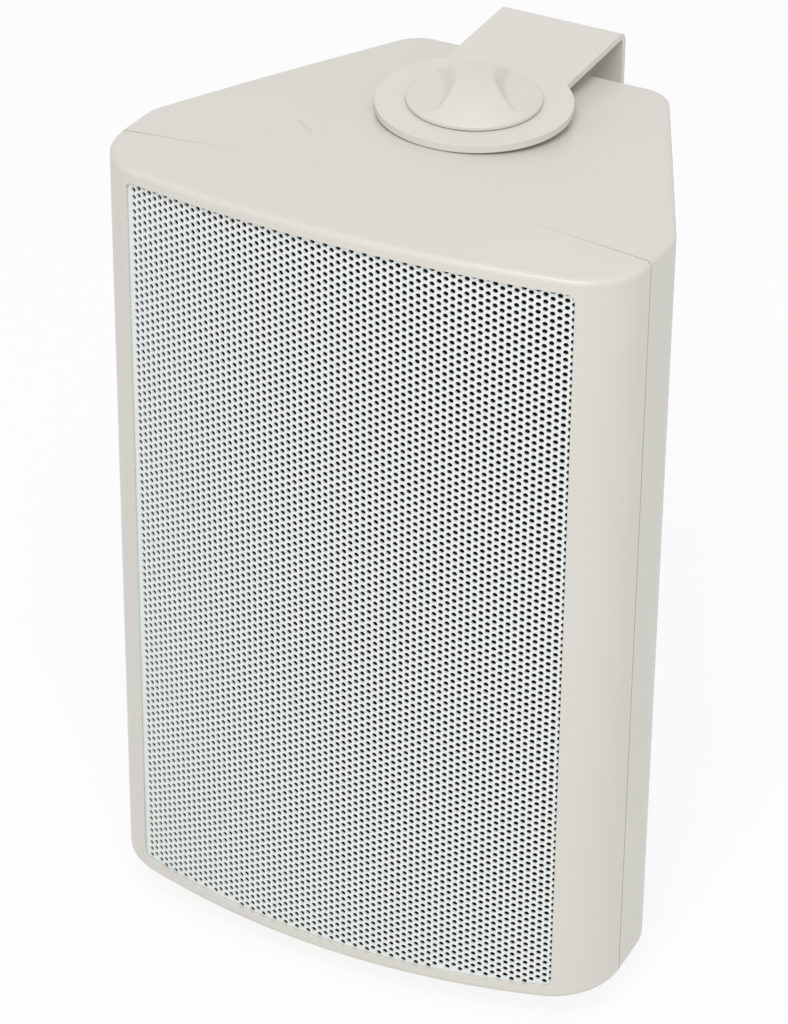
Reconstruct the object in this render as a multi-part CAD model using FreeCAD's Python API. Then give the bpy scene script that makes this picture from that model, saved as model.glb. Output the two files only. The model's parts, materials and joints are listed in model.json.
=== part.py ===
import FreeCAD, Part
import math
import os

V = FreeCAD.Vector
os.makedirs("parts", exist_ok=True)

# A wall loudspeaker that swivels in a U-shaped steel strap. Millimetres, +Z up.
# The origin is the middle of the strap's back face, which lies on the wall.
# The grille faces -Y. Top and bottom are mirror images in Z = 0.

# Strap
STRAP_T = 2.0
STRAP_W = 38.5
STRAP_BEND_R = 2.0
EYE_R = 28.3
EYE_RISE = 0.1
PIVOT_Y = -61.4
WALL_HOLE_R = 2.75
WALL_HOLE_SPACING = 140.0

# Cabinet outline
HALF_W = 81.3
HALF_H = 120.0
CROWN = 2.2
CROWN_AT_BACK = 0.02
SEAM_Y = -120.5
SEAM_BOW = 2.8
SEAM_GAP = 0.5
SEAM_GAP_MIDDLE = 0.2
BACK_Y = -16.5
BACK_FALL = 6.0
SHOULDER_BEHIND = 17.1
SHOULDER_R = 16.0
SIDE_LEAN = 0.467
BACK_CORNER_R = 11.0
HOUSING_EDGE_R = 1.5
WALL_T = 3.0

# Cutting tools reach past the solids, and an edge this near a place counts as there
TOOL_REACH = 400.0
TOOL_SPREAD = 1.25
NEAR = 0.35

# Bezel and grille
FRONT_AHEAD = 28.9
FRONT_R = 265.0
BEZEL_CORNER_R = 21.0
BEZEL_EDGE_R = 1.8
BEZEL_SIDE_W = 12.95
BEZEL_LIP_W = 3.7
OPENING_CORNER_R = 2.5
LIP_T = 1.0
LIP_GAP = 0.15
REBATE = 1.5
GRILLE_T = 0.6
GRILLE_CLEAR = 0.3
GRILLE_COLUMNS = 10
GRILLE_ROWS = 15
GRILLE_HOLE_R = 4.2
CLOTH_T = 1.0

# Baffle
BAFFLE_BEHIND = 0.3
BAFFLE_T = 9.0
RIM_W = 7.3
RIM_H = 6.0
BAFFLE_CLEAR = 0.4
BAFFLE_CORNER_R = 5.0

# Woofer: its outer radius follows the tray, and every other figure
# is a share of that radius, in hundredths, from the mounting face back
FLANGE_CLEAR = 3.5
BAFFLE_HOLE = 89.0
FLANGE_FRONT = -4.2
SHELF = 46.0
SHELF_UNDER = 43.2
BASE = 64.5
BASE_UNDER = 61.8
RIM_S = 3.4
SKIN = 1.2
NECK = 30.5
COIL_IN = 21.4
COIL_OUT = 22.4
AIR_GAP = 0.7
PLATE_END = 73.0
MAGNET_END = 96.7
YOKE_END = 105.0
MAGNET = 63.0
WINDOWS = 6
WOOFER_SCREWS = 94.2

# Tweeter
FACEPLATE_R = 34.0
FACEPLATE_T = 3.0
DOME_R = 12.5
DOME_H = 4.5
HORN_W = 6.0
DOME_CLEAR = 2.0
FACEPLATE_CHAMFER = 0.8
TWEETER_BODY_R = 25.0
TWEETER_BODY_L = 22.0
TWEETER_SCREW_PCR = 29.5

# Screws
SCREW_HEAD_R = 2.9
SCREW_HEAD_H = 2.0
SCREW_SHANK_R = 1.6
SCREW_CLEAR = 0.3
BOSS_INSET = 7.0
BOSS_R = 4.5
BAFFLE_SCREW_L = 23.0
BORE_EXTRA = 2.0

# Pivot pads, studs and knobs
PAD_R = 16.5
PAD_T = 4.0
WASHER_R = 15.0
WASHER_T = 0.8
STUD_R = 4.0
STUD_CLEAR = 0.4
STUD_FIT = 0.06
STUD_IN_HOUSING = 15.0
STUD_IN_KNOB = 4.5
INSERT_R = 6.5
INSERT_FLANGE_R = 8.5
INSERT_FLANGE_T = 1.5
SOCKET_R = 10.0
SOCKET_L = 16.0
KNOB_R = 19.5
KNOB_HUB_R = 12.0
KNOB_LIFT = 0.4
KNOB_RIM_H = 0.8
KNOB_H = 8.4
KNOB_BAR_W = 17.0
KNOB_BAR_EDGE_R = 1.5
KNOB_FLOOR_H = 2.2
KNOB_SCOOP_R = 30.0
KNOB_SCOOP_EDGE_R = 2.5
KNOB_SCOOP_DRAFT = 45.0
KNOB_FLOOR_TILT = 10.0
KNOB_TURN = 27.0

# Terminals
CUP_Z = -70.0
CUP_MARGIN = 19.2
CUP_H = 36.0
CUP_DEPTH = 16.0
CUP_WALL = 1.5
CUP_LIP = 3.0
CUP_LIP_T = 1.5
RIB_T = 2.0
LEVER_PIN_R = 1.2
LEVER_PIN_FIT = 0.05
LEVER_PIN_UP = 9.0
LEVER_PIN_IN = 8.0
LEVER_GAP = 0.8
LEVER_T = 3.0
LEVER_DROP = 14.0
LEVER_TAB = 2.5
CONTACT_R = 3.5
CONTACT_BORE_R = 1.5
CONTACT_L = 5.0
CONTACT_DOWN = 11.0

# Crossover
BOARD_Z = 42.0
BOARD_W = 58.0
BOARD_H = 84.0
BOARD_T = 1.6
POST_L = 8.0
POST_R = 3.5
POST_INSET = 5.0
CAP_R = 8.0
CAP_L = 26.0
INDUCTOR_R = 13.0
INDUCTOR_CORE_R = 7.0
INDUCTOR_H = 14.0
RESISTOR_L = 24.0
RESISTOR_W = 8.0
CAP_UP = 0.29
COIL_UP = -0.05
RESISTOR_UP = -0.32

# Sizes that follow from the ones above
strap_inside = HALF_H + EYE_RISE
strap_top = strap_inside + STRAP_T
pad_z = strap_inside - WASHER_T
front_y = SEAM_Y - FRONT_AHEAD
shoulder_y = SEAM_Y + SHOULDER_BEHIND
baffle_back_y = SEAM_Y + BAFFLE_BEHIND
back_half_w = HALF_W - SIDE_LEAN * (BACK_Y - shoulder_y)
back_half_h = HALF_H - BACK_FALL
opening_half_w = HALF_W - BEZEL_SIDE_W
opening_half_h = HALF_H - BEZEL_LIP_W
bow_centre_y = front_y + FRONT_R
baffle_half_w = opening_half_w + REBATE
baffle_half_h = opening_half_h + REBATE - BAFFLE_CLEAR
pocket_x = baffle_half_w - RIM_W
pocket_z = baffle_half_h - RIM_H
boss_x = pocket_x - BOSS_INSET
boss_z = pocket_z - BOSS_INSET
mount_y = baffle_back_y - BAFFLE_T
flange_r = pocket_x - FLANGE_CLEAR
driver_gap = (2 * pocket_z - 2 * flange_r - 2 * FACEPLATE_R) / 3
woofer_z = -pocket_z + driver_gap + flange_r
tweeter_z = pocket_z - driver_gap - FACEPLATE_R
cup_w = 2 * (back_half_w - CUP_MARGIN)
screw_bore = SCREW_SHANK_R + SCREW_CLEAR


def save(name, shape):
    shape.exportStep("parts/" + name + ".step")


def box(x0, x1, y0, y1, z0, z1):
    return Part.makeBox(x1 - x0, y1 - y0, z1 - z0, V(x0, y0, z0))


def rod_y(radius, y0, y1, x=0.0, z=0.0):
    return Part.makeCylinder(radius, y1 - y0, V(x, y0, z), V(0, 1, 0))


def rod_z(radius, z0, z1, x=0.0, y=0.0):
    return Part.makeCylinder(radius, z1 - z0, V(x, y, z0))


def rod_x(radius, x0, x1, y, z):
    return Part.makeCylinder(radius, x1 - x0, V(x0, y, z), V(1, 0, 0))


def face_of(edges):
    return Part.Face(Part.Wire(Part.__sortEdges__(edges)))


def polygon(points):
    return Part.Face(Part.makePolygon(points + points[:1]))


def upright(face):
    """A plan drawn at Z = 0, made into a column that reaches far above and below."""
    return face.translated(V(0, 0, -TOOL_REACH / 2)).extrude(V(0, 0, TOOL_REACH))


def rounded(points, radii):
    """A flat face with straight sides whose corners are rounded."""
    ends = []
    edges = []
    for i, (p, r) in enumerate(zip(points, radii)):
        a = (points[i - 1] - p).normalize()
        b = (points[(i + 1) % len(points)] - p).normalize()
        half = a.getAngle(b) / 2
        if r == 0:
            ends.append((p, p))
            continue
        reach = r / math.tan(half)
        middle = (a + b).normalize() * (r / math.sin(half) - r)
        ends.append((p + a * reach, p + b * reach))
        edges.append(Part.Arc(p + a * reach, p + middle, p + b * reach).toShape())
    for i, (start, stop) in enumerate(ends):
        edges.append(Part.makeLine(stop, ends[(i + 1) % len(ends)][0]))
    return face_of(edges)


def flipped(shape):
    """The mirror image below Z = 0."""
    return shape.mirror(V(0, 0, 0), V(0, 0, 1))


def turned_y(profile, z):
    """Revolve (radius, y) points about a Y axis at height z."""
    face = polygon([V(r, y, 0) for r, y in profile])
    return face.revolve(V(0, 0, 0), V(0, 1, 0), 360).translated(V(0, 0, z))


def around(count, radius, start=0.0):
    """Evenly spaced (x, z) points on a circle."""
    steps = [math.radians(start + 360 * i / count) for i in range(count)]
    return [(radius * math.cos(t), radius * math.sin(t)) for t in steps]


def arc_radius(half_chord, sagitta):
    return (half_chord ** 2 + sagitta ** 2) / (2 * sagitta)


def crowned(y, half_h, crown):
    """A tall cross-section at one y whose top and bottom edges are crowned."""
    wide = HALF_W * TOOL_SPREAD
    if crown == 0:
        return Part.makePolygon([V(sx * wide, y, sz * half_h)
                                 for sx, sz in ((-1, 1), (1, 1), (1, -1), (-1, -1), (-1, 1))])
    low = half_h - crown * (wide ** 2 / HALF_W ** 2 - 1)
    high = half_h + crown
    edges = [Part.Arc(V(-wide, y, low), V(0, y, high), V(wide, y, low)).toShape(),
             Part.makeLine(V(wide, y, low), V(wide, y, -low)),
             Part.Arc(V(wide, y, -low), V(0, y, -high), V(-wide, y, -low)).toShape(),
             Part.makeLine(V(-wide, y, -low), V(-wide, y, low))]
    return Part.Wire(edges)


def behind_seam(shift, bow):
    """All that lies behind the seam: a curve that bows back towards its middle."""
    side = HALF_W * TOOL_SPREAD
    y_middle = SEAM_Y + shift + bow
    y_edge = y_middle - bow * side ** 2 / HALF_W ** 2
    a, b = V(-side, y_edge, 0), V(side, y_edge, 0)
    c, d = V(side, TOOL_REACH, 0), V(-side, TOOL_REACH, 0)
    return upright(face_of([Part.Arc(a, V(0, y_middle, 0), b).toShape(), Part.makeLine(b, c),
                            Part.makeLine(c, d), Part.makeLine(d, a)]))


def round_top_and_bottom(shape, radius, limit_z, shift, bow):
    """Round the edges above and below limit_z, but not those on the seam."""
    chosen = []
    for edge in shape.Edges:
        points = edge.discretize(5)
        level = min(abs(p.z) for p in points) > limit_z and points[0].z * points[-1].z > 0
        off_seam = [abs(p.y - SEAM_Y - shift - bow * (1 - p.x ** 2 / HALF_W ** 2)) for p in points]
        if level and max(off_seam) > NEAR:
            chosen.append(edge)
    return shape.makeFillet(radius, chosen)


def pan_screw(y_face, length, x, z):
    """A pan-head screw put in from the front; its head rests on y_face."""
    head = rod_y(SCREW_HEAD_R, y_face - SCREW_HEAD_H, y_face, x, z)
    slot = SCREW_HEAD_R * 0.3
    reach = SCREW_HEAD_R * 0.65
    y0, y1 = y_face - SCREW_HEAD_H, y_face - SCREW_HEAD_H / 2
    cross = box(x - reach, x + reach, y0, y1, z - slot, z + slot)
    cross = cross.fuse(box(x - slot, x + slot, y0, y1, z - reach, z + reach))
    return head.cut(cross).fuse(rod_y(SCREW_SHANK_R, y_face, y_face + length, x, z)).removeSplitter()


def group(solids):
    return Part.makeCompound(solids)


# The strap: a bent U with a round eye at the end of each arm
outer_bend = STRAP_BEND_R + STRAP_T
strap_x = -STRAP_W / 2
outer_u = rounded([V(strap_x, PIVOT_Y, -strap_top), V(strap_x, 0, -strap_top),
                   V(strap_x, 0, strap_top), V(strap_x, PIVOT_Y, strap_top)], [0, outer_bend, outer_bend, 0])
inner_y = PIVOT_Y - EYE_R
inner_u = rounded([V(strap_x, inner_y, -strap_inside), V(strap_x, -STRAP_T, -strap_inside),
                   V(strap_x, -STRAP_T, strap_inside), V(strap_x, inner_y, strap_inside)],
                  [0, STRAP_BEND_R, STRAP_BEND_R, 0])
strap = outer_u.extrude(V(STRAP_W, 0, 0)).cut(inner_u.extrude(V(STRAP_W, 0, 0)))
eye = rod_z(EYE_R, strap_inside, strap_top, 0, PIVOT_Y)
strap = strap.fuse([eye, flipped(eye)]).removeSplitter()
strap = strap.cut(rod_z(STUD_R + STUD_CLEAR, -strap_top, strap_top, 0, PIVOT_Y))
for hole_z in (-WALL_HOLE_SPACING / 2, WALL_HOLE_SPACING / 2):
    strap = strap.cut(rod_y(WALL_HOLE_R, -STRAP_T, 0, 0, hole_z))
save("wall_bracket", strap)


# The rear housing: a tapered shell with a crowned top and bottom
def housing_block(inset, crown):
    """The housing's outline, moved in by inset on every side."""
    front = SEAM_Y - BEZEL_SIDE_W
    back_x = back_half_w - inset * (math.hypot(1, SIDE_LEAN) - SIDE_LEAN)
    wide_x = HALF_W - inset
    shoulder = BACK_Y - inset - (wide_x - back_x) / SIDE_LEAN
    half = [V(wide_x, front, 0), V(wide_x, shoulder, 0), V(back_x, BACK_Y - inset, 0)]
    other = [V(-p.x, p.y, 0) for p in reversed(half)]
    radii = [0, SHOULDER_R - inset, BACK_CORNER_R - inset]
    plan = upright(rounded(half + other, radii + radii[::-1]))
    before = (SEAM_Y - front) / (BACK_Y - SEAM_Y)
    section0 = crowned(front, HALF_H - inset + BACK_FALL * before, crown * (1 + before))
    section1 = crowned(BACK_Y, back_half_h - inset, crown * CROWN_AT_BACK)
    return plan.common(Part.makeLoft([section0, section1], True, True))


housing_bow = SEAM_BOW - SEAM_GAP + SEAM_GAP_MIDDLE
shell = housing_block(0, CROWN).common(behind_seam(SEAM_GAP, housing_bow))
shell = round_top_and_bottom(shell, HOUSING_EDGE_R, back_half_h - WALL_T, SEAM_GAP, housing_bow)
outside = shell
cavity = housing_block(WALL_T, 0)
shell = shell.cut(cavity)
socket_end = pad_z - SOCKET_L
pad = rod_z(PAD_R, pad_z - PAD_T, pad_z, 0, PIVOT_Y)
socket = rod_z(SOCKET_R, socket_end, pad_z - PAD_T, 0, PIVOT_Y)
shell = shell.fuse([pad, flipped(pad), socket, flipped(socket)])
baffle_screw_at = [(x, z) for x in (-boss_x, boss_x) for z in (-boss_z, boss_z)]
bosses = [rod_y(BOSS_R, baffle_back_y, BACK_Y, x, z) for x, z in baffle_screw_at]
shell = shell.fuse([boss.common(outside.fuse(cavity)) for boss in bosses])
posts = [(sx * (BOARD_W / 2 - POST_INSET), BOARD_Z + sz * (BOARD_H / 2 - POST_INSET))
         for sx in (-1, 1) for sz in (-1, 1)]
inside_back = BACK_Y - WALL_T
board_back = inside_back - POST_L
shell = shell.fuse([rod_y(POST_R, board_back, inside_back + WALL_T / 2, x, z) for x, z in posts])
insert_bore = rod_z(INSERT_R + SCREW_CLEAR, socket_end, pad_z, 0, PIVOT_Y)
shell = shell.cut(insert_bore).cut(flipped(insert_bore))
boss_bore_end = mount_y + BAFFLE_SCREW_L + BORE_EXTRA
for x, z in baffle_screw_at:
    shell = shell.cut(rod_y(screw_bore, baffle_back_y, boss_bore_end, x, z))
for x, z in posts:
    shell = shell.cut(rod_y(screw_bore, board_back, inside_back, x, z))
cup_bottom, cup_top = CUP_Z - CUP_H / 2, CUP_Z + CUP_H / 2
shell = shell.cut(box(-cup_w / 2, cup_w / 2, BACK_Y - CUP_DEPTH, BACK_Y, cup_bottom, cup_top))
save("rear_housing", shell.removeSplitter())

# The bezel: a rounded frame, bowed in plan, with a thin lip round its opening
side_y = bow_centre_y - math.sqrt(FRONT_R ** 2 - HALF_W ** 2)
a, b = V(-HALF_W, side_y, 0), V(HALF_W, side_y, 0)
c, d = V(HALF_W, BACK_Y, 0), V(-HALF_W, BACK_Y, 0)
plan = upright(face_of([Part.Arc(a, V(0, front_y, 0), b).toShape(), Part.makeLine(b, c),
                        Part.makeLine(c, d), Part.makeLine(d, a)]))
corners = [e for e in plan.Edges if all(abs(p.y - side_y) < NEAR and abs(abs(p.x) - HALF_W) < NEAR
                                        for p in e.discretize(3))]
plan = plan.makeFillet(BEZEL_CORNER_R, corners)
sections = [crowned(y, HALF_H, CROWN) for y in (front_y - BEZEL_LIP_W, BACK_Y)]
bezel = plan.common(Part.makeLoft(sections, True, True)).cut(behind_seam(0, SEAM_BOW))
bezel = round_top_and_bottom(bezel, BEZEL_EDGE_R, back_half_h, 0, SEAM_BOW)


def opening(grow):
    """The opening made larger all round: straight sides, cambered top and bottom."""
    w, h = opening_half_w + grow, opening_half_h + grow
    y0 = front_y - BEZEL_SIDE_W
    edges = [Part.Arc(V(-w, y0, h), V(0, y0, h + CROWN), V(w, y0, h)).toShape(),
             Part.makeLine(V(w, y0, h), V(w, y0, -h)),
             Part.Arc(V(w, y0, -h), V(0, y0, -h - CROWN), V(-w, y0, -h)).toShape(),
             Part.makeLine(V(-w, y0, -h), V(-w, y0, h))]
    depth = BACK_Y - y0
    block = Part.Face(Part.Wire(edges)).extrude(V(0, depth, 0))
    corner_edges = [e for e in block.Edges if abs(e.Length - depth) < NEAR]
    return block.makeFillet(OPENING_CORNER_R + grow, corner_edges)


behind_lip = rod_z(FRONT_R - LIP_T, -TOOL_REACH / 2, TOOL_REACH / 2, 0, bow_centre_y)
bezel = bezel.cut(opening(0)).cut(opening(REBATE).common(behind_lip))
save("front_bezel", bezel)

# The grille: a bowed sheet of flat strips tucked behind the lip, each with a column of holes
grille_outline = opening(REBATE - GRILLE_CLEAR)
grille_half_w = opening_half_w + REBATE - GRILLE_CLEAR
grille_r = FRONT_R - LIP_T - LIP_GAP
half_angle = math.asin(grille_half_w / grille_r)


def spread(limit):
    """Angles of the strip edges, evenly spaced across the bow."""
    return [limit * (2 * i / GRILLE_COLUMNS - 1) for i in range(GRILLE_COLUMNS + 1)]


def on_bow(radius, turn):
    return V(radius * math.sin(turn), bow_centre_y - radius * math.cos(turn), 0)


def bowed_sheet(outer_r, thick, angles):
    front = [on_bow(outer_r, t) for t in angles]
    rear = [on_bow(outer_r - thick, t) for t in reversed(angles)]
    return upright(polygon(front + rear))


turns = spread(half_angle)
grille = bowed_sheet(grille_r, GRILLE_T, turns).common(grille_outline)
row_pitch = 2 * opening_half_h / (GRILLE_ROWS + 0.75)
holes = []
for i in range(GRILLE_COLUMNS):
    middle = (turns[i] + turns[i + 1]) / 2
    stagger = (i % 2 - 0.5) * row_pitch / 2
    for j in range(GRILLE_ROWS):
        z = (j - (GRILLE_ROWS - 1) / 2) * row_pitch + stagger
        points = [V(x, -FRONT_R, z + dz) for x, dz in around(6, GRILLE_HOLE_R)]
        prism = polygon(points).extrude(V(0, FRONT_R / 2, 0))
        prism.rotate(V(0, 0, 0), V(0, 0, 1), math.degrees(middle))
        holes.append(prism.translated(V(0, bow_centre_y, 0)))
grille = grille.cut(group(holes))
save("front_grille", grille)

# The black cloth behind the grille, held by its two upright edges
ledge_y = bow_centre_y - (grille_r - GRILLE_T) * math.cos(half_angle)
cloth_r = grille_r - GRILLE_T - GRILLE_CLEAR
cloth_half = math.acos((bow_centre_y - ledge_y) / (cloth_r - CLOTH_T))
save("grille_cloth", bowed_sheet(cloth_r, CLOTH_T, spread(cloth_half)).common(grille_outline))

# The baffle: a tray whose rim carries the grille and whose floor carries the drivers
share = flange_r / 100
woofer_screw_at = [(x, z + woofer_z) for x, z in around(4, WOOFER_SCREWS * share, 45)]
tweeter_screw_at = [(x, z + tweeter_z) for x, z in around(4, TWEETER_SCREW_PCR, 45)]
baffle = box(-baffle_half_w, baffle_half_w, ledge_y, baffle_back_y, -baffle_half_h, baffle_half_h)
corners = [e for e in baffle.Edges if abs(e.Length - baffle_back_y + ledge_y) < NEAR]
baffle = baffle.makeFillet(BAFFLE_CORNER_R, corners)
baffle = baffle.cut(box(-pocket_x, pocket_x, ledge_y, mount_y, -pocket_z, pocket_z))
baffle = baffle.cut(rod_y(BAFFLE_HOLE * share, mount_y, baffle_back_y, 0, woofer_z))
baffle = baffle.cut(rod_y(TWEETER_BODY_R + DOME_CLEAR, mount_y, baffle_back_y, 0, tweeter_z))
for x, z in woofer_screw_at + tweeter_screw_at + baffle_screw_at:
    baffle = baffle.cut(rod_y(screw_bore, mount_y, baffle_back_y, x, z))
save("front_baffle", baffle)
save("baffle_screws", group([pan_screw(mount_y, BAFFLE_SCREW_L, x, z) for x, z in baffle_screw_at]))


# The woofer, built of rings turned about its own axis
def woofer_ring(profile):
    """Revolve points given in hundredths of the flange radius."""
    return turned_y([(r * share, mount_y + s * share) for r, s in profile], woofer_z)


def woofer_tube(r0, r1, s0, s1):
    return woofer_ring([(r0, s0), (r1, s0), (r1, s1), (r0, s1)])


flange_y = mount_y + FLANGE_FRONT * share
basket = woofer_ring([(100, FLANGE_FRONT), (100, 0), (87.5, 0), (62, SHELF), (49, SHELF), (49, BASE),
                      (27, BASE), (27, BASE_UNDER), (46.4, BASE_UNDER), (46.4, SHELF_UNDER),
                      (60, SHELF_UNDER), (82, 2.5), (82, FLANGE_FRONT)])
window_w = 15 * share
window_y0, window_y1 = mount_y + 8.5 * share, mount_y + 35.5 * share
for i in range(WINDOWS):
    window = box(-window_w, window_w, window_y0, window_y1, 51 * share, 119 * share)
    window.rotate(V(0, 0, 0), V(0, 1, 0), 360 * i / WINDOWS)
    basket = basket.cut(window.translated(V(0, 0, woofer_z)))
for x, z in woofer_screw_at:
    basket = basket.cut(rod_y(screw_bore, flange_y, mount_y, x, z))
save("woofer_basket", basket)

neck_front = NECK - SKIN
rim_front = RIM_S - SKIN
save("woofer_cone", woofer_ring([(COIL_IN, NECK), (25.4, NECK), (69.8, RIM_S), (73.7, RIM_S),
                                 (73.7, rim_front), (69.2, rim_front), (24.9, neck_front),
                                 (COIL_IN, neck_front)]))
cap_seat = neck_front - SKIN
cap_line = [(0, 20), (8.5, 20.8), (15.3, 23.4), (20.3, 26.6), (23, cap_seat), (24.4, cap_seat)]
cap_under = [(24.4, neck_front), (22, neck_front), (19.7, 27.8), (14.7, 24.6), (8.1, 22), (0, 21.2)]
save("woofer_dust_cap", woofer_ring(cap_line + cap_under))

seat = FLANGE_FRONT - SKIN
roll_under = [(69.5, rim_front), (73.6, rim_front), (74.2, -1.7), (76.3, -7.1), (79, -8.5), (81.7, -7.1),
              (83.4, FLANGE_FRONT), (88, FLANGE_FRONT)]
roll_end = rim_front - SKIN
roll_over = [(88, seat), (84.2, seat), (82.4, -8.3), (79, -9.8), (75.6, -8.3), (73.2, -2), (72.5, roll_end),
             (69.5, roll_end)]
save("woofer_surround", woofer_ring(roll_under + roll_over))
save("woofer_gasket", woofer_tube(84.8, 88, seat - 2.6, seat))

wave = [(COIL_OUT + 0.2, SHELF_UNDER), (27, 40.7), (32, SHELF_UNDER), (37, 40.7), (42.4, SHELF_UNDER),
        (56, SHELF_UNDER)]
save("woofer_spider", woofer_ring(wave + [(r, s - SKIN) for r, s in reversed(wave)]))
save("woofer_voice_coil", woofer_tube(COIL_IN, COIL_OUT, NECK, PLATE_END + SKIN))
save("woofer_top_plate", woofer_tube(COIL_OUT + AIR_GAP, MAGNET - 9, BASE, PLATE_END))
save("woofer_magnet", woofer_tube(COIL_OUT + 10, MAGNET, PLATE_END, MAGNET_END))
pole = COIL_IN - AIR_GAP
save("woofer_yoke", woofer_ring([(0, BASE), (pole, BASE), (pole, MAGNET_END), (MAGNET - 7, MAGNET_END),
                                 (MAGNET - 7, YOKE_END), (0, YOKE_END)]))
woofer_screw_l = mount_y - flange_y + BAFFLE_T
save("woofer_screws", group([pan_screw(flange_y, woofer_screw_l, x, z) for x, z in woofer_screw_at]))

# The tweeter
face_y = mount_y - FACEPLATE_T
throat_r = DOME_R + DOME_CLEAR
faceplate = turned_y([(throat_r, mount_y), (FACEPLATE_R, mount_y), (FACEPLATE_R, face_y + FACEPLATE_CHAMFER),
                      (FACEPLATE_R - FACEPLATE_CHAMFER, face_y), (DOME_R + HORN_W, face_y),
                      (throat_r, mount_y - FACEPLATE_CHAMFER)], tweeter_z)
for x, z in tweeter_screw_at:
    faceplate = faceplate.cut(rod_y(screw_bore, face_y, mount_y, x, z))
save("tweeter_faceplate", faceplate)
save("tweeter_magnet", rod_y(TWEETER_BODY_R, mount_y, mount_y + TWEETER_BODY_L, 0, tweeter_z))
dome_r = arc_radius(DOME_R, DOME_H)
dome = Part.makeSphere(dome_r, V(0, mount_y - DOME_H + dome_r, tweeter_z))
save("tweeter_dome", dome.common(rod_y(DOME_R, mount_y - DOME_R, mount_y, 0, tweeter_z)))
save("tweeter_screws", group([pan_screw(face_y, FACEPLATE_T + BAFFLE_T, x, z) for x, z in tweeter_screw_at]))


# Pivot hardware, made for the top and mirrored for the bottom
def knob():
    """A low dome with a grip bar left standing between two scoops."""
    rim = strap_top + KNOB_LIFT
    edge_z = rim + KNOB_RIM_H
    top = strap_top + KNOB_H
    floor = edge_z + KNOB_FLOOR_H
    cap_r = arc_radius(KNOB_R, top - edge_z)
    blank = rod_z(KNOB_R, rim, top).common(Part.makeSphere(cap_r, V(0, 0, top - cap_r)))
    height = 2 * KNOB_H
    flare = height * math.tan(math.radians(KNOB_SCOOP_DRAFT))
    for side in (-1, 1):
        edge_x = side * KNOB_BAR_W / 2
        scoop = Part.makeCone(KNOB_SCOOP_R, KNOB_SCOOP_R + flare, height,
                              V(edge_x + side * KNOB_SCOOP_R, 0, floor))
        foot = [e for e in scoop.Edges if max(abs(v.Z - floor) for v in e.Vertexes) < NEAR]
        scoop = scoop.makeFillet(KNOB_SCOOP_EDGE_R, foot)
        scoop.rotate(V(edge_x, 0, floor), V(0, 1, 0), side * KNOB_FLOOR_TILT)
        blank = blank.cut(scoop)
    bar_edges = []
    for edge in blank.Edges:
        if edge.Degenerated:
            continue
        points = edge.discretize(9)
        middle = points[4]
        on_dome = all(abs(p.distanceToPoint(V(0, 0, top - cap_r)) - cap_r) < NEAR / 10 for p in points)
        beside_bar = KNOB_BAR_W / 6 < abs(middle.x) < KNOB_R - KNOB_BAR_W / 3
        if on_dome and beside_bar and middle.z > floor - KNOB_RIM_H:
            bar_edges.append(edge)
    blank = blank.makeFillet(KNOB_BAR_EDGE_R, bar_edges)
    blank = blank.fuse(rod_z(KNOB_HUB_R, strap_top, edge_z)).removeSplitter()
    blank = blank.cut(rod_z(STUD_R + SCREW_CLEAR, strap_top, strap_top + STUD_IN_KNOB))
    blank.rotate(V(0, 0, 0), V(0, 0, 1), KNOB_TURN)
    return blank.translated(V(0, PIVOT_Y, 0))


stud = rod_z(STUD_R, pad_z - STUD_IN_HOUSING, strap_top + STUD_IN_KNOB, 0, PIVOT_Y)
insert = rod_z(INSERT_R, socket_end, pad_z - INSERT_FLANGE_T, 0, PIVOT_Y)
insert = insert.fuse(rod_z(INSERT_FLANGE_R, socket_end - INSERT_FLANGE_T, socket_end, 0, PIVOT_Y))
insert = insert.cut(rod_z(STUD_R + STUD_FIT, socket_end - INSERT_FLANGE_T, pad_z, 0, PIVOT_Y))
insert = insert.removeSplitter()
washer = rod_z(WASHER_R, pad_z, strap_inside, 0, PIVOT_Y)
washer = washer.cut(rod_z(STUD_R + STUD_CLEAR, pad_z, strap_inside, 0, PIVOT_Y))
for name, shape in (("knob", knob()), ("stud", stud), ("insert", insert), ("washer", washer)):
    save("top_" + name, shape)
    save("bottom_" + name, flipped(shape))

# The terminal cup, its two sprung levers and its contacts
cup_front = BACK_Y + CUP_LIP_T
cup_floor = cup_front - CUP_DEPTH
inner_x = cup_w / 2 - CUP_WALL
inner_z = CUP_H / 2 - CUP_WALL
cup = box(-cup_w / 2, cup_w / 2, cup_floor - CUP_WALL, BACK_Y, cup_bottom, cup_top)
cup = cup.fuse(box(-cup_w / 2 - CUP_LIP, cup_w / 2 + CUP_LIP, BACK_Y, cup_front,
                   cup_bottom - CUP_LIP, cup_top + CUP_LIP))
cup = cup.cut(box(-inner_x, inner_x, cup_floor, cup_front, CUP_Z - inner_z, CUP_Z + inner_z))
cup = cup.fuse(box(-RIB_T / 2, RIB_T / 2, cup_floor, cup_front - CUP_LIP_T, CUP_Z - inner_z, CUP_Z + inner_z))
pin_y = cup_front - LEVER_PIN_IN
pin_z = CUP_Z + LEVER_PIN_UP
pin_end = inner_x + CUP_WALL * 0.7
pin_gap = 2 * LEVER_PIN_FIT
cup = cup.cut(rod_x(LEVER_PIN_R + LEVER_PIN_FIT, -pin_end - pin_gap, pin_end + pin_gap, pin_y, pin_z))
save("terminal_cup", cup.removeSplitter())


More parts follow.
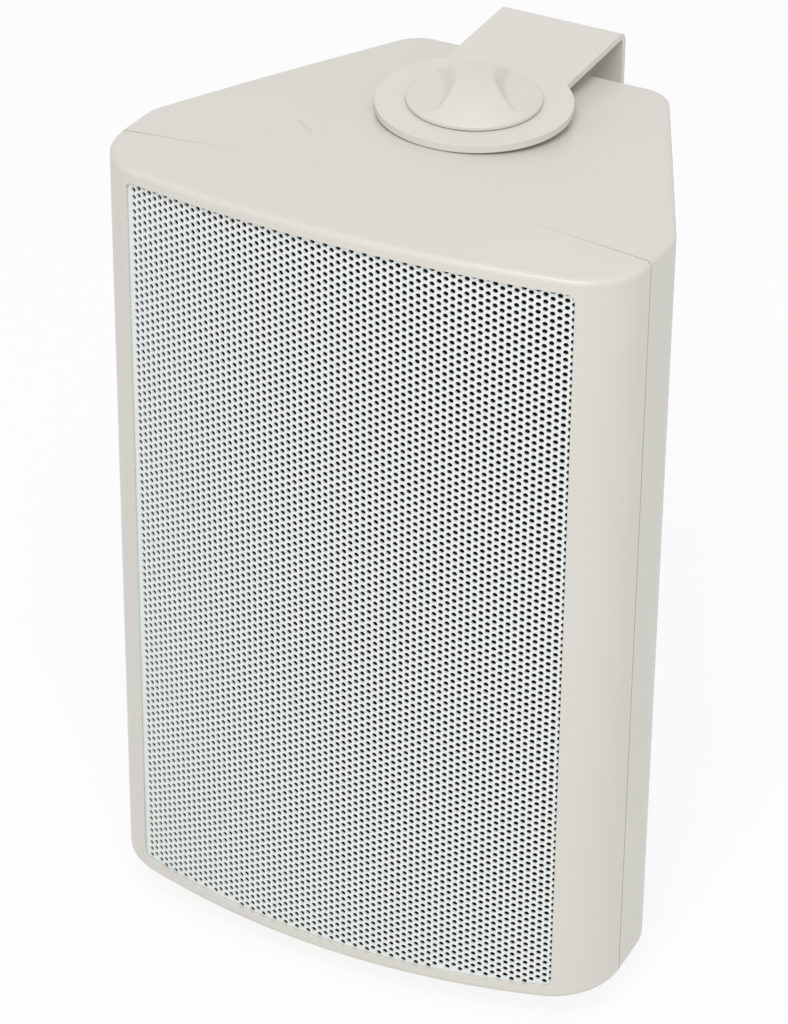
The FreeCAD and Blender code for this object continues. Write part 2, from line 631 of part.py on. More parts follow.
def lever(side):
    near, far = sorted((side * (RIB_T / 2 + LEVER_GAP), side * (inner_x - LEVER_GAP)))
    end0, end1 = sorted((side * pin_gap, side * pin_end))
    foot = pin_z - LEVER_DROP
    plate = box(near, far, pin_y - LEVER_T / 2, pin_y + LEVER_T / 2, foot, pin_z)
    barrel = rod_x(LEVER_PIN_R + CUP_WALL / 2, near, far, pin_y, pin_z)
    tab = box(near, far, pin_y, pin_y + LEVER_T / 2 + LEVER_TAB, foot, foot + 2 * LEVER_TAB)
    return plate.fuse([barrel, tab, rod_x(LEVER_PIN_R, end0, end1, pin_y, pin_z)]).removeSplitter()


save("terminal_lever_black", lever(-1))
save("terminal_lever_red", lever(1))
contact_x = (RIB_T / 2 + inner_x) / 2
contact_z = CUP_Z - CONTACT_DOWN
contact_end = cup_floor + CONTACT_L
contacts = []
for x in (-contact_x, contact_x):
    post = rod_y(CONTACT_R, cup_floor, contact_end, x, contact_z)
    contacts.append(post.cut(rod_y(CONTACT_BORE_R, cup_floor + CUP_WALL, contact_end, x, contact_z)))
save("terminal_contacts", group(contacts))

# The crossover board and its parts
board_front = board_back - BOARD_T
board = box(-BOARD_W / 2, BOARD_W / 2, board_front, board_back, BOARD_Z - BOARD_H / 2, BOARD_Z + BOARD_H / 2)
for x, z in posts:
    board = board.cut(rod_y(screw_bore, board_front, board_back, x, z))
save("crossover_board", board)
board_screw_l = BOARD_T + POST_L - BORE_EXTRA
save("crossover_screws", group([pan_screw(board_front, board_screw_l, x, z) for x, z in posts]))
cap_z = BOARD_Z + CAP_UP * BOARD_H
save("crossover_capacitor", rod_x(CAP_R, -CAP_L / 2, CAP_L / 2, board_front - CAP_R, cap_z))
coil_front = board_front - INDUCTOR_H
coil_z = BOARD_Z + COIL_UP * BOARD_H
coil = rod_y(INDUCTOR_R, coil_front, board_front, 0, coil_z)
save("crossover_coil", coil.cut(rod_y(INDUCTOR_CORE_R, coil_front, board_front, 0, coil_z)))
resistor_z = BOARD_Z + RESISTOR_UP * BOARD_H
save("crossover_resistor", box(-RESISTOR_L / 2, RESISTOR_L / 2, board_front - RESISTOR_W, board_front,
                               resistor_z - RESISTOR_W / 2, resistor_z + RESISTOR_W / 2))
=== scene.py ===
# %% [markdown]
# A wall loudspeaker on a swivel bracket.
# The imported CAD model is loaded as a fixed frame, in metres: +Z is up, the wall is the plane Y = 0 and
# the grille faces -Y. The lesson adds what CAD leaves out: the fine perforation of the grille, the
# finishes, the light and the camera. The grille's width, height and front are read from the frame. Its
# bow, its camber and the hole pattern are written here, and have to agree with the CAD.

# %% Load the frame
import bmesh
import bpy
import json
import math
from mathutils import Matrix, Vector


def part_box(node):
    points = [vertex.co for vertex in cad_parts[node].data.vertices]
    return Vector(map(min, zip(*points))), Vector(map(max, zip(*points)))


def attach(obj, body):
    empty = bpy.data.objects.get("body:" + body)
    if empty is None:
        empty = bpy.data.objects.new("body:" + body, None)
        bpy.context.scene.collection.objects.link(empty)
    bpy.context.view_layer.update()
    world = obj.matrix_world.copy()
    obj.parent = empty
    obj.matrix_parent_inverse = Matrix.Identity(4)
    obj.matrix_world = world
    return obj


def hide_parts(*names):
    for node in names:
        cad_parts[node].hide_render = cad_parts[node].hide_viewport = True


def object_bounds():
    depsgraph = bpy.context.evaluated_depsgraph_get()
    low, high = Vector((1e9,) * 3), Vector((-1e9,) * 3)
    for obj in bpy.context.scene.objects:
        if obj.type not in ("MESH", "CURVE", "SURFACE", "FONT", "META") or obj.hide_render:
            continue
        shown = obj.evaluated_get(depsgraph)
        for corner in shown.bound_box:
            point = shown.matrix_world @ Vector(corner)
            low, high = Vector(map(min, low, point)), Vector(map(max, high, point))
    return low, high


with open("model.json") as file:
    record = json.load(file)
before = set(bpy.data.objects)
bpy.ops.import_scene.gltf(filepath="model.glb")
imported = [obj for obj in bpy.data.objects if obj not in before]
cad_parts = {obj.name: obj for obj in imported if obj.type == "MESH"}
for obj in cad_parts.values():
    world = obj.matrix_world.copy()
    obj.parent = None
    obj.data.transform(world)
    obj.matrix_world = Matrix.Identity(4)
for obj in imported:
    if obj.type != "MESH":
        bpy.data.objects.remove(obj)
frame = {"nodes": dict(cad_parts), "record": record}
cad_low, cad_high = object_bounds()
nodes = frame["nodes"]
print("nodes:", len(nodes), "size:", [round(v, 4) for v in cad_high - cad_low])

# %% [markdown]
# Every finish on this object has two things in common: a slow drift of colour, as moulding and paint
# always have, and a fine grain that breaks up the highlights. Both could be painted as textures, but
# noise in object space needs no unwrapping and keeps its real size on every piece. They are built once as
# a shader group, and each material sets how strong and how large they are.


# %% A shader group for drift of colour and fine grain
DRIFT_DETAIL = 3
GRAIN_DETAIL = 2


def named_node(tree, kind, name, **settings):
    node = tree.nodes.new(kind)
    node.name = node.label = name
    for key, value in settings.items():
        setattr(node, key, value)
    return node


def surface_group():
    group = bpy.data.node_groups.new("drift_and_grain", "ShaderNodeTree")
    face = group.interface
    for name, kind in (("Light Colour", "NodeSocketColor"), ("Dark Colour", "NodeSocketColor"),
                       ("Drift Scale", "NodeSocketFloat"), ("Grain Scale", "NodeSocketFloat"),
                       ("Stretch", "NodeSocketVector"), ("Roughness Low", "NodeSocketFloat"),
                       ("Roughness High", "NodeSocketFloat")):
        face.new_socket(name, in_out="INPUT", socket_type=kind)
    for name, kind in (("Colour", "NodeSocketColor"), ("Roughness", "NodeSocketFloat"),
                       ("Height", "NodeSocketFloat")):
        face.new_socket(name, in_out="OUTPUT", socket_type=kind)
    given = named_node(group, "NodeGroupInput", "given")
    made = named_node(group, "NodeGroupOutput", "made")
    where = named_node(group, "ShaderNodeTexCoord", "object space")
    stretch = named_node(group, "ShaderNodeVectorMath", "stretch the grain", operation="MULTIPLY")
    drift = named_node(group, "ShaderNodeTexNoise", "slow drift")
    grain = named_node(group, "ShaderNodeTexNoise", "fine grain")
    colour = named_node(group, "ShaderNodeMix", "drift of colour", data_type="RGBA")
    gloss = named_node(group, "ShaderNodeMapRange", "drift of gloss")
    drift.inputs["Detail"].default_value = DRIFT_DETAIL
    grain.inputs["Detail"].default_value = GRAIN_DETAIL
    link = group.links.new
    link(where.outputs["Object"], drift.inputs["Vector"])
    link(given.outputs["Drift Scale"], drift.inputs["Scale"])
    link(where.outputs["Object"], stretch.inputs[0])
    link(given.outputs["Stretch"], stretch.inputs[1])
    link(stretch.outputs["Vector"], grain.inputs["Vector"])
    link(given.outputs["Grain Scale"], grain.inputs["Scale"])
    link(drift.outputs["Fac"], colour.inputs["Factor"])
    link(given.outputs["Dark Colour"], colour.inputs["A"])
    link(given.outputs["Light Colour"], colour.inputs["B"])
    link(drift.outputs["Fac"], gloss.inputs["Value"])
    link(given.outputs["Roughness Low"], gloss.inputs["To Min"])
    link(given.outputs["Roughness High"], gloss.inputs["To Max"])
    link(colour.outputs["Result"], made.inputs["Colour"])
    link(gloss.outputs["Result"], made.inputs["Roughness"])
    link(grain.outputs["Fac"], made.inputs["Height"])
    return group


drift_and_grain = surface_group()
print("shader group:", drift_and_grain.name, [s.name for s in drift_and_grain.interface.items_tree])


# %% [markdown]
# A finish is then one Principled shader fed by that group. The constant values, such as metallic and
# coat, go straight on the shader's own sockets. Colours are written as they look on screen, from 0 to
# 255, and turned into linear light.


# %% One function for every finish
def linear(rgb):
    """The usual screen curve, undone: straight for the darkest values and a power above them."""
    channels = [v / 255 / 12.92 if v <= 10 else ((v / 255 + 0.055) / 1.055) ** 2.4 for v in rgb]
    return (*channels, 1.0)


def finish(name, rgb, spread=4, drift=18, grain=2500, bump=0.05, depth=0.00005, rough=(0.42, 0.52),
           metallic=0.0, stretch=(1, 1, 1), coat=0.0, sheen=0.0):
    material = bpy.data.materials.new(name)
    material.use_nodes = True
    tree = material.node_tree
    shader = tree.nodes["Principled BSDF"]
    surface = named_node(tree, "ShaderNodeGroup", "drift and grain", node_tree=drift_and_grain)
    surface.inputs["Light Colour"].default_value = linear([min(255, v + spread) for v in rgb])
    surface.inputs["Dark Colour"].default_value = linear([max(0, v - spread) for v in rgb])
    surface.inputs["Drift Scale"].default_value = drift
    surface.inputs["Grain Scale"].default_value = grain
    surface.inputs["Stretch"].default_value = stretch
    surface.inputs["Roughness Low"].default_value = rough[0]
    surface.inputs["Roughness High"].default_value = rough[1]
    relief = named_node(tree, "ShaderNodeBump", "grain relief")
    relief.inputs["Strength"].default_value = bump
    relief.inputs["Distance"].default_value = depth
    tree.links.new(surface.outputs["Colour"], shader.inputs["Base Color"])
    tree.links.new(surface.outputs["Roughness"], shader.inputs["Roughness"])
    tree.links.new(surface.outputs["Height"], relief.inputs["Height"])
    tree.links.new(relief.outputs["Normal"], shader.inputs["Normal"])
    shader.inputs["Metallic"].default_value = metallic
    shader.inputs["Coat Weight"].default_value = coat
    shader.inputs["Sheen Weight"].default_value = sheen
    return material


# %% [markdown]
# The outside has three whites. The moulded cabinet is the warmest, the bent strap is powder coated and a
# little lighter, and the grille is the coolest. The inside is made of what such speakers are made of:
# black paper and rubber, zinc-plated steel, dark ferrite, copper and brass.

# %% The finishes, one for each slot of the record
finishes = {
    "white_plastic": finish("moulded_white", (220, 218, 209), spread=2, grain=1800, bump=0.2,
                            rough=(0.28, 0.38)),
    "white_steel": finish("strap_powder_coat", (223, 221, 213), spread=2, grain=1400, bump=0.3,
                          rough=(0.34, 0.44)),
    "white_grille": finish("grille_powder_coat", (238, 243, 241), spread=2, grain=1600, bump=0.3,
                           rough=(0.38, 0.5)),
    "black_cloth": finish("black_cloth", (5, 6, 6), spread=2, drift=60, grain=1800, bump=0.6, depth=0.0002,
                          rough=(0.9, 1.0), stretch=(1, 1, 0.2)),
    "black_plastic": finish("moulded_black", (24, 24, 25), spread=3, grain=1500, bump=0.3, rough=(0.5, 0.65)),
    "red_plastic": finish("moulded_red", (176, 24, 26), spread=6, grain=900, bump=0.1, rough=(0.28, 0.36),
                          coat=0.2),
    "cone_paper": finish("pressed_paper", (34, 33, 32), spread=6, drift=120, grain=700, bump=0.7,
                         depth=0.0003, rough=(0.8, 0.92)),
    "black_rubber": finish("moulded_rubber", (26, 26, 27), spread=4, grain=500, bump=0.2, rough=(0.55, 0.7)),
    "amber_cloth": finish("dipped_cloth", (180, 130, 66), spread=12, drift=80, grain=1500, bump=0.7,
                          depth=0.0002, rough=(0.7, 0.85), stretch=(1, 0.2, 1)),
    "dome_cloth": finish("coated_silk", (30, 30, 32), spread=4, grain=2200, bump=0.5, rough=(0.45, 0.6),
                         sheen=0.2),
    "black_steel": finish("black_paint", (28, 28, 29), spread=4, grain=900, bump=0.25, rough=(0.35, 0.5)),
    "zinc_steel": finish("zinc_plate", (196, 197, 196), spread=10, drift=90, grain=900, bump=0.15,
                         metallic=1.0, rough=(0.26, 0.4), stretch=(1, 1, 6)),
    "ferrite": finish("ferrite", (58, 58, 61), spread=8, drift=50, grain=350, bump=0.5, depth=0.0002,
                      rough=(0.6, 0.8)),
    "copper": finish("enamelled_copper", (196, 110, 66), spread=14, drift=70, grain=900, bump=0.5,
                     depth=0.0003, metallic=1.0, rough=(0.25, 0.35), stretch=(0.1, 1, 0.1), coat=0.4),
    "brass": finish("turned_brass", (206, 172, 98), spread=10, drift=90, grain=1200, bump=0.2, metallic=1.0,
                    rough=(0.22, 0.34), stretch=(1, 1, 8)),
    "board_green": finish("solder_mask", (36, 96, 48), spread=8, drift=60, grain=1300, bump=0.2,
                          rough=(0.3, 0.4)),
    "capacitor_sleeve": finish("shrunk_sleeve", (44, 54, 108), spread=6, grain=300, bump=0.1,
                               rough=(0.2, 0.3), coat=0.3),
    "resistor_white": finish("cement_case", (214, 212, 203), spread=8, drift=120, grain=600, bump=0.6,
                             depth=0.0002, rough=(0.75, 0.9)),
}
slot_of = {row["node"]: row["material_slot"] for row in frame["record"]["subparts"]}
for name, node in nodes.items():
    node.data.materials.clear()
    node.data.materials.append(finishes[slot_of[name]])
print("finishes:", len(finishes), "on", len(nodes), "nodes")


# %% [markdown]
# The cabinet's top has one short scratch, which stays. It needs no texture: the shader measures how far
# each point is from a line between two places on the top, and darkens the plastic close to it. Heights
# count for a tenth, so the slight crown of the top doesn't matter, and everything lower down is far away.


# %% A scratch on the cabinet's top
SCRATCH_START = Vector((-0.0400, -0.0915, 0.1198))
SCRATCH_END = Vector((-0.0335, -0.0964, 0.1198))
SCRATCH_HALF_WIDTH = 0.00045
SCRATCH_RGB = (199, 196, 185)
HEIGHT_SHARE = 0.1


def add_scratch(material):
    """Darken a material along the scratch, and give back how long the scratch is."""
    tree = material.node_tree
    link = tree.links.new
    run = SCRATCH_END - SCRATCH_START
    where = named_node(tree, "ShaderNodeTexCoord", "object space")
    offset = named_node(tree, "ShaderNodeVectorMath", "from the start", operation="SUBTRACT")
    level = named_node(tree, "ShaderNodeVectorMath", "heights count less", operation="MULTIPLY")
    along = named_node(tree, "ShaderNodeVectorMath", "way along the line", operation="DOT_PRODUCT")
    held = named_node(tree, "ShaderNodeClamp", "not past the ends")
    foot = named_node(tree, "ShaderNodeVectorMath", "nearest place on the line", operation="SCALE")
    away = named_node(tree, "ShaderNodeVectorMath", "distance", operation="DISTANCE")
    mask = named_node(tree, "ShaderNodeMapRange", "close to the line")
    colour = named_node(tree, "ShaderNodeMix", "scratch over the finish", data_type="RGBA")
    offset.inputs[1].default_value = SCRATCH_START
    level.inputs[1].default_value = (1, 1, HEIGHT_SHARE)
    along.inputs[1].default_value = run.normalized()
    held.inputs["Max"].default_value = run.length
    foot.inputs[0].default_value = run.normalized()
    mask.inputs["From Max"].default_value = SCRATCH_HALF_WIDTH
    mask.inputs["To Min"].default_value = 1.0
    mask.inputs["To Max"].default_value = 0.0
    colour.inputs["B"].default_value = linear(SCRATCH_RGB)
    link(where.outputs["Object"], offset.inputs[0])
    link(offset.outputs["Vector"], level.inputs[0])
    link(level.outputs["Vector"], along.inputs[0])
    link(along.outputs["Value"], held.inputs["Value"])
    link(held.outputs["Result"], foot.inputs["Scale"])
    link(level.outputs["Vector"], away.inputs[0])
    link(foot.outputs["Vector"], away.inputs[1])
    link(away.outputs["Value"], mask.inputs["Value"])
    link(mask.outputs["Result"], colour.inputs["Factor"])
    link(tree.nodes["drift and grain"].outputs["Colour"], colour.inputs["A"])
    link(colour.outputs["Result"], tree.nodes["Principled BSDF"].inputs["Base Color"])
    return run.length


print("scratch length:", round(add_scratch(finishes["white_plastic"]), 4))


# %% [markdown]
# The grille is a bowed steel sheet with thousands of small round holes in staggered columns. A bump map
# would look flat at the edges, and a boolean for each hole would be slow. Instead two small tiles are
# made, one with a hole and a plain one for the rim, and Geometry Nodes repeat them. Both are the
# same rectangle, with one more corner halfway up each side, so that the tiles of the next column, which
# are half a step higher, share all their corners with it and the sheet closes.


# %% The tiles: a rectangle with a round hole, and a plain one
HOLE_PITCH = 0.002268
HOLE_RADIUS = 0.0008
HOLE_SIDES = 10
# Faces whose middle is within this share of the radius lie inside the hole.
HOLE_CORE = 0.8
STAGGER_ANGLE = math.radians(30)
COLUMN_STEP = HOLE_PITCH * math.cos(STAGGER_ANGLE)
HALF_STEP = COLUMN_STEP / 2
HALF_PITCH = HOLE_PITCH / 2
TILE_CORNERS = [(HALF_STEP, -HALF_PITCH), (HALF_STEP, 0), (HALF_STEP, HALF_PITCH),
                (-HALF_STEP, HALF_PITCH), (-HALF_STEP, 0), (-HALF_STEP, -HALF_PITCH)]
TILE_HALVES = [(0, 1, 4, 5), (1, 2, 3, 4)]


def plain_tile():
    mesh = bpy.data.meshes.new("plain_tile")
    mesh.from_pydata([(x, y, 0) for x, y in TILE_CORNERS], [], TILE_HALVES)
    return bpy.data.objects.new("plain_tile", mesh)


def hole_tile():
    mesh = bpy.data.meshes.new("hole_tile")
    tile = bmesh.new()
    turns = [2 * math.pi * (i + 0.5) / HOLE_SIDES for i in range(HOLE_SIDES)]
    circle = [(HOLE_RADIUS * math.cos(t), HOLE_RADIUS * math.sin(t)) for t in turns]
    edges = []
    for loop in (TILE_CORNERS, circle):
        verts = [tile.verts.new((x, y, 0)) for x, y in loop]
        edges += [tile.edges.new((verts[i - 1], verts[i])) for i in range(len(verts))]
    bmesh.ops.triangle_fill(tile, use_beauty=True, edges=edges, normal=(0, 0, 1))
    inside = [f for f in tile.faces if f.calc_center_median().length < HOLE_RADIUS * HOLE_CORE]
    bmesh.ops.delete(tile, geom=inside, context="FACES_ONLY")
    for f in tile.faces:
        if f.normal.z < 0:
            f.normal_flip()
    tile.to_mesh(mesh)
    tile.free()
    return bpy.data.objects.new("hole_tile", mesh)


tile_objects = {"Holed Tile": hole_tile(), "Plain Tile": plain_tile()}
print("tile faces:", {name: len(tile.data.polygons) for name, tile in tile_objects.items()})

# %% [markdown]
# The node tree lays the tiles on a flat grid, moves every second column up by half a step, welds them,
# and pulls every point that is past the outline back onto it. Tiles at the border lose their outer part
# that way, so plain tiles are laid there and no hole is cut open. The rim is wider on the left and at the
# foot. Only then is the flat sheet bent round the bow and given its thickness.


# %% The tree that makes a perforated, bowed sheet
SLIVER_AREA = 2e-9
WELD_DISTANCE = 0.00001


def sheet_tree():
    tree = bpy.data.node_groups.new("perforated_sheet", "GeometryNodeTree")
    face = tree.interface
    for name, kind in (("Holed Tile", "NodeSocketObject"), ("Plain Tile", "NodeSocketObject"),
                       ("Plain Left", "NodeSocketFloat"), ("Plain Right", "NodeSocketFloat"),
                       ("Plain Foot", "NodeSocketFloat"), ("Plain Head", "NodeSocketFloat"),
                       ("Columns", "NodeSocketInt"), ("Rows", "NodeSocketInt"),
                       ("Column Step", "NodeSocketFloat"), ("Pitch", "NodeSocketFloat"),
                       ("Middle Height", "NodeSocketFloat"), ("Low Edge", "NodeSocketFloat"),
                       ("High Edge", "NodeSocketFloat"), ("Low Camber", "NodeSocketFloat"),
                       ("High Camber", "NodeSocketFloat"), ("Half Width", "NodeSocketFloat"),
                       ("Bow Radius", "NodeSocketFloat"), ("Front", "NodeSocketFloat"),
                       ("Thickness", "NodeSocketFloat"), ("Finish", "NodeSocketMaterial")):
        face.new_socket(name, in_out="INPUT", socket_type=kind)
    face.new_socket("Geometry", in_out="OUTPUT", socket_type="NodeSocketGeometry")
    given = named_node(tree, "NodeGroupInput", "given").outputs
    made = named_node(tree, "NodeGroupOutput", "made")
    link = tree.links.new

    def plug(socket, value):
        if isinstance(value, bpy.types.NodeSocket):
            link(value, socket)
        else:
            socket.default_value = value

    def maths(operation, a, b=0.0, c=0.0):
        node = named_node(tree, "ShaderNodeMath", operation.lower(), operation=operation)
        for socket, value in zip(node.inputs, (a, b, c)):
            plug(socket, value)
        return node.outputs[0]

    def place():
        parts = named_node(tree, "ShaderNodeSeparateXYZ", "place")
        link(named_node(tree, "GeometryNodeInputPosition", "position").outputs[0], parts.inputs[0])
        return parts.outputs

    def moved(geometry, x, y, z, name):
        together = named_node(tree, "ShaderNodeCombineXYZ", name)
        for socket, value in zip(together.inputs, (x, y, z)):
            plug(socket, value)
        node = named_node(tree, "GeometryNodeSetPosition", name)
        link(geometry, node.inputs["Geometry"])
        link(together.outputs[0], node.inputs["Position"])
        return node.outputs[0]

    def edge_height(x, edge, camber):
        share = maths("DIVIDE", x, given["Half Width"])
        crown = maths("SUBTRACT", 1.0, maths("MULTIPLY", share, share))
        return maths("MULTIPLY_ADD", crown, given[camber], given[edge])

    def welded(geometry):
        node = named_node(tree, "GeometryNodeMergeByDistance", "weld")
        link(geometry, node.inputs["Geometry"])
        node.inputs["Distance"].default_value = WELD_DISTANCE
        return node.outputs[0]

    grid = named_node(tree, "GeometryNodeMeshGrid", "one point for each hole")
    plug(grid.inputs["Vertices X"], given["Columns"])
    plug(grid.inputs["Vertices Y"], given["Rows"])
    wide = maths("MULTIPLY", maths("SUBTRACT", given["Columns"], 1.0), given["Column Step"])
    plug(grid.inputs["Size X"], wide)
    plug(grid.inputs["Size Y"], maths("MULTIPLY", maths("SUBTRACT", given["Rows"], 1.0), given["Pitch"]))
    x, y, _ = place()
    column = maths("ROUND", maths("DIVIDE", maths("MULTIPLY_ADD", wide, 0.5, x), given["Column Step"]))
    odd = maths("MODULO", column, 2.0)
    lift = maths("MULTIPLY", maths("SUBTRACT", odd, 0.5), maths("MULTIPLY", given["Pitch"], 0.5))
    raised = maths("ADD", maths("ADD", y, lift), given["Middle Height"])
    points = moved(grid.outputs["Mesh"], x, raised, 0.0, "stagger the columns")

    x, y, _ = place()
    plain = 0.0
    for rim, inside in (("Plain Left", maths("ADD", x, given["Half Width"])),
                        ("Plain Right", maths("SUBTRACT", given["Half Width"], x)),
                        ("Plain Foot", maths("SUBTRACT", y, edge_height(x, "Low Edge", "Low Camber"))),
                        ("Plain Head", maths("SUBTRACT", edge_height(x, "High Edge", "High Camber"), y))):
        plain = maths("MAXIMUM", plain, maths("LESS_THAN", inside, given[rim]))
    tiles = named_node(tree, "GeometryNodeJoinGeometry", "holed and plain tiles")
    for kind, chosen in (("Holed Tile", maths("SUBTRACT", 1.0, plain)), ("Plain Tile", plain)):
        tile = named_node(tree, "GeometryNodeObjectInfo", kind)
        link(given[kind], tile.inputs["Object"])
        spread = named_node(tree, "GeometryNodeInstanceOnPoints", kind + " at its points")
        link(points, spread.inputs["Points"])
        link(chosen, spread.inputs["Selection"])
        link(tile.outputs["Geometry"], spread.inputs["Instance"])
        link(spread.outputs[0], tiles.inputs[0])
    real = named_node(tree, "GeometryNodeRealizeInstances", "make the tiles real")
    link(tiles.outputs[0], real.inputs[0])

    x, y, _ = place()
    left = maths("MULTIPLY", given["Half Width"], -1.0)
    across = maths("MINIMUM", maths("MAXIMUM", x, left), given["Half Width"])
    bottom = edge_height(across, "Low Edge", "Low Camber")
    up = maths("MINIMUM", maths("MAXIMUM", y, bottom), edge_height(across, "High Edge", "High Camber"))
    cut = welded(moved(welded(real.outputs[0]), across, up, 0.0, "pull in to the outline"))
    flat = named_node(tree, "GeometryNodeDeleteGeometry", "drop what has no area", domain="FACE")
    link(cut, flat.inputs["Geometry"])
    area = named_node(tree, "GeometryNodeInputMeshFaceArea", "area").outputs[0]
    link(maths("LESS_THAN", area, SLIVER_AREA), flat.inputs["Selection"])

    x, y, _ = place()
    turn = maths("DIVIDE", x, given["Bow Radius"])
    bent_x = maths("MULTIPLY", maths("SINE", turn), given["Bow Radius"])
    forward = maths("MULTIPLY", maths("COSINE", turn), given["Bow Radius"])
    back = maths("SUBTRACT", given["Bow Radius"], forward)
    bowed = moved(flat.outputs[0], bent_x, maths("ADD", given["Front"], back), y, "bend round the bow")

    thick = named_node(tree, "GeometryNodeExtrudeMesh", "thickness", mode="FACES")
    link(bowed, thick.inputs["Mesh"])
    plug(thick.inputs["Offset Scale"], maths("MULTIPLY", given["Thickness"], -1.0))
    thick.inputs["Individual"].default_value = False
    turned = named_node(tree, "GeometryNodeFlipFaces", "turn the back outwards")
    link(thick.outputs["Mesh"], turned.inputs["Mesh"])
    both = named_node(tree, "GeometryNodeJoinGeometry", "front and back")
    link(turned.outputs[0], both.inputs[0])
    link(bowed, both.inputs[0])
    last = named_node(tree, "GeometryNodeRealizeInstances", "make all real")
    link(welded(both.outputs[0]), last.inputs[0])
    painted = named_node(tree, "GeometryNodeSetMaterial", "finish")
    link(last.outputs[0], painted.inputs["Geometry"])
    link(given["Finish"], painted.inputs["Material"])
    link(painted.outputs[0], made.inputs[0])
    return tree


perforated_sheet = sheet_tree()
print("geometry tree:", perforated_sheet.name, "nodes:", len(perforated_sheet.nodes))

# %% [markdown]
# The sheet is made in an upper and a lower piece, only to keep each mesh small. They meet in the middle
# along one straight cut, and the holes on the cut are completed by the other piece.


# %% Make the grille in two pieces
GRILLE_THICKNESS = 0.0006
GRILLE_BOW_RADIUS = 0.26385
GRILLE_CAMBER = 0.0022
PLAIN_LEFT = 0.0036
PLAIN_FOOT = 0.0018
HOLE_MARGIN = 0.00005
PLAIN_RIM = HOLE_RADIUS + HOLE_MARGIN
NO_RIM = -HOLE_PITCH
SPARE_ROWS = 2
grille_low, grille_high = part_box("front_grille")
grille_half_w = GRILLE_BOW_RADIUS * math.asin(grille_high.x / GRILLE_BOW_RADIUS)
grille_corner = grille_high.z - GRILLE_CAMBER


def run_tree(name, tree, values):
    """Run a geometry tree on an empty mesh and keep the result as a plain mesh."""
    carrier = bpy.data.objects.new(name + "_carrier", bpy.data.meshes.new(name + "_carrier"))
    bpy.context.scene.collection.objects.link(carrier)
    modifier = carrier.modifiers.new("tree", "NODES")
    modifier.node_group = tree
    for socket in tree.interface.items_tree:
        if socket.in_out == "INPUT":
            modifier[socket.identifier] = values[socket.name]
    evaluated = carrier.evaluated_get(bpy.context.evaluated_depsgraph_get())
    mesh = bpy.data.meshes.new_from_object(evaluated)
    bpy.data.objects.remove(carrier)
    piece = bpy.data.objects.new(name, mesh)
    bpy.context.scene.collection.objects.link(piece)
    return piece


rows = math.ceil(grille_corner / HOLE_PITCH) + SPARE_ROWS
lift = rows * HOLE_PITCH / 2 - HOLE_PITCH
for name, low, high, low_camber, high_camber, middle, foot, head in (
        ("grille_upper", 0.0, grille_corner, 0.0, GRILLE_CAMBER, lift, NO_RIM, PLAIN_RIM),
        ("grille_lower", -grille_corner, 0.0, -GRILLE_CAMBER, 0.0, -lift, PLAIN_FOOT, NO_RIM)):
    half = run_tree(name, perforated_sheet, {
        **tile_objects, "Plain Left": PLAIN_LEFT, "Plain Right": PLAIN_RIM, "Plain Foot": foot,
        "Plain Head": head, "Rows": rows, "Pitch": HOLE_PITCH,
        "Columns": 2 * math.ceil(grille_half_w / COLUMN_STEP) + 1, "Column Step": COLUMN_STEP,
        "Middle Height": middle, "Low Edge": low, "High Edge": high, "Low Camber": low_camber,
        "High Camber": high_camber, "Half Width": grille_half_w, "Bow Radius": GRILLE_BOW_RADIUS,
        "Front": grille_low.y, "Thickness": GRILLE_THICKNESS, "Finish": finishes["white_grille"]})
    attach(half, "cabinet")
    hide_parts("front_grille")
    print(name, "triangles:", sum(len(p.vertices) - 2 for p in half.data.polygons))

# %% [markdown]
# The stage is a plain pale floor just under the lower knob. The camera stands where the photograph was
# taken from: its place and its three angles were found by fitting the cabinet's corners, so no shift is
# needed.

# %% Floor
FLOOR_SIZE = 8.0
FLOOR_GAP = 0.0005
SEEN_WHITE = 0.88


def seen_ray(tree):
    """One for what the camera sees, directly or in a reflection, and zero for light on other things."""
    path = named_node(tree, "ShaderNodeLightPath", "what kind of ray")
    seen = named_node(tree, "ShaderNodeMath", "camera or glossy", operation="MAXIMUM")
    tree.links.new(path.outputs["Is Camera Ray"], seen.inputs[0])
    tree.links.new(path.outputs["Is Glossy Ray"], seen.inputs[1])
    return seen.outputs[0]


def floor_finish():
    """A pale floor that the camera and reflections see a good part of the way to white, shadows included."""
    material = finish("pale_floor", (248, 248, 248), spread=1, bump=0.02, rough=(0.85, 0.95))
    tree = material.node_tree
    share = named_node(tree, "ShaderNodeMath", "share of white", operation="MULTIPLY")
    white = named_node(tree, "ShaderNodeEmission", "plain white")
    blend = named_node(tree, "ShaderNodeMixShader", "lift towards white")
    share.inputs[1].default_value = SEEN_WHITE
    link = tree.links.new
    link(seen_ray(tree), share.inputs[0])
    link(share.outputs[0], blend.inputs[0])
    link(tree.nodes["Principled BSDF"].outputs[0], blend.inputs[1])
    link(white.outputs[0], blend.inputs[2])
    link(blend.outputs[0], tree.nodes["Material Output"].inputs["Surface"])
    return material


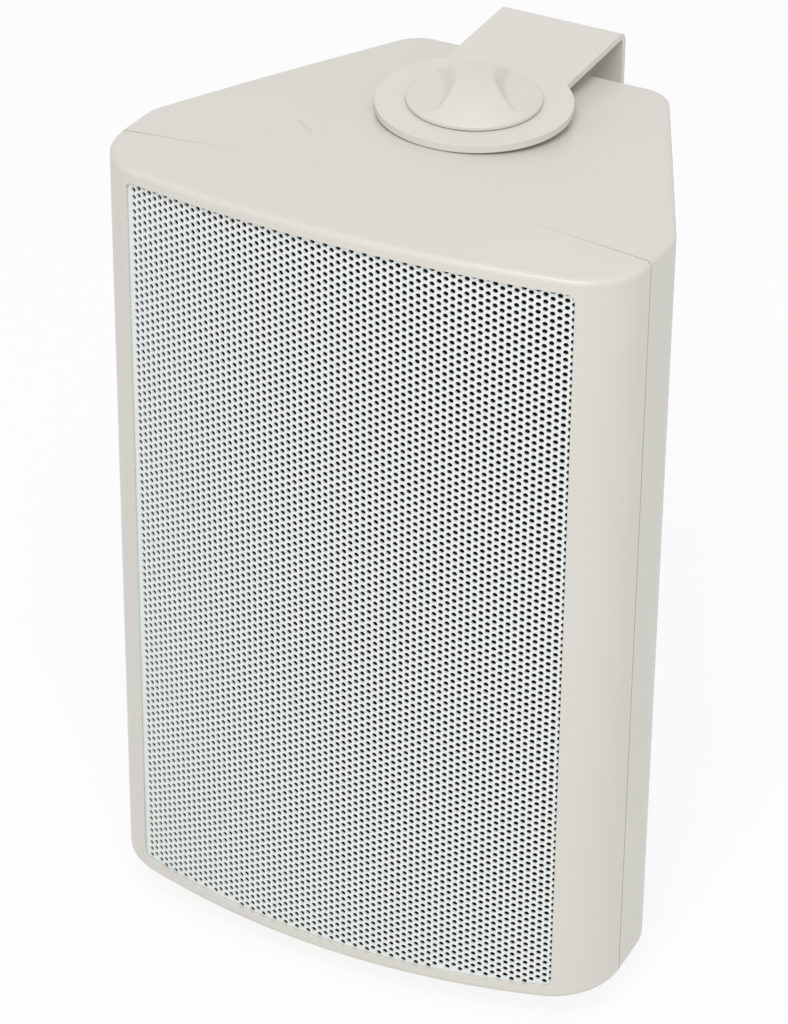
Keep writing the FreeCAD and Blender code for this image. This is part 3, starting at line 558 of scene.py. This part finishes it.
floor_mesh = bpy.data.meshes.new("floor")
floor_z = cad_low.z - FLOOR_GAP
signs = ((-1, -1), (1, -1), (1, 1), (-1, 1))
floor_mesh.from_pydata([(x * FLOOR_SIZE, y * FLOOR_SIZE, floor_z) for x, y in signs], [], [(0, 1, 2, 3)])
floor = bpy.data.objects.new("floor", floor_mesh)
bpy.context.scene.collection.objects.link(floor)
floor.data.materials.append(floor_finish())
print("floor at z =", round(floor_z, 4))

# %% Camera
CAMERA_PLACE = Vector((0.46573, -1.03361, 0.67081))
CAMERA_AZIMUTH = math.radians(26.745)
CAMERA_PITCH = math.radians(32.517)
CAMERA_ROLL = math.radians(0.546)
CAMERA_LENS = 149.65
CAMERA_SENSOR = 36
camera = bpy.data.objects.new("camera", bpy.data.cameras.new("camera"))
camera.data.lens = CAMERA_LENS
camera.data.sensor_width = CAMERA_SENSOR
turned = Matrix.Rotation(CAMERA_AZIMUTH, 4, "Z") @ Matrix.Rotation(math.pi / 2 - CAMERA_PITCH, 4, "X")
camera.matrix_world = Matrix.Translation(CAMERA_PLACE) @ turned @ Matrix.Rotation(CAMERA_ROLL, 4, "Z")
bpy.context.scene.collection.objects.link(camera)
bpy.context.scene.camera = camera
print("camera at", [round(v, 3) for v in camera.location])


# %% [markdown]
# The light is one big soft lamp, high in front and slightly to the right, and an even sky. The sky is
# white to the camera and to reflections, and dimmer as a light, so that the whites keep their shape.

# %% Light
LAMP_PLACE = Vector((0.48, -1.29, 1.86))
LAMP_AIM = Vector((0, -0.06, 0))
LAMP_SIZE = 1.1
LAMP_WATTS = 25
SKY_LEVEL = 0.55
lamp = bpy.data.objects.new("key_lamp", bpy.data.lights.new("key_lamp", "AREA"))
lamp.data.size = LAMP_SIZE
lamp.data.energy = LAMP_WATTS
lamp.location = LAMP_PLACE
lamp.rotation_euler = (LAMP_AIM - LAMP_PLACE).to_track_quat("-Z", "Y").to_euler()
bpy.context.scene.collection.objects.link(lamp)
world = bpy.data.worlds.new("sky")
bpy.context.scene.world = world
world.use_nodes = True
sky = world.node_tree
background = sky.nodes["Background"]
background.inputs["Color"].default_value = (1, 1, 1, 1)
level = named_node(sky, "ShaderNodeMapRange", "white when seen, dimmer as a light")
level.inputs["To Min"].default_value = SKY_LEVEL
sky.links.new(seen_ray(sky), level.inputs["Value"])
sky.links.new(level.outputs["Result"], background.inputs["Strength"])
bpy.context.scene.view_settings.view_transform = "Standard"
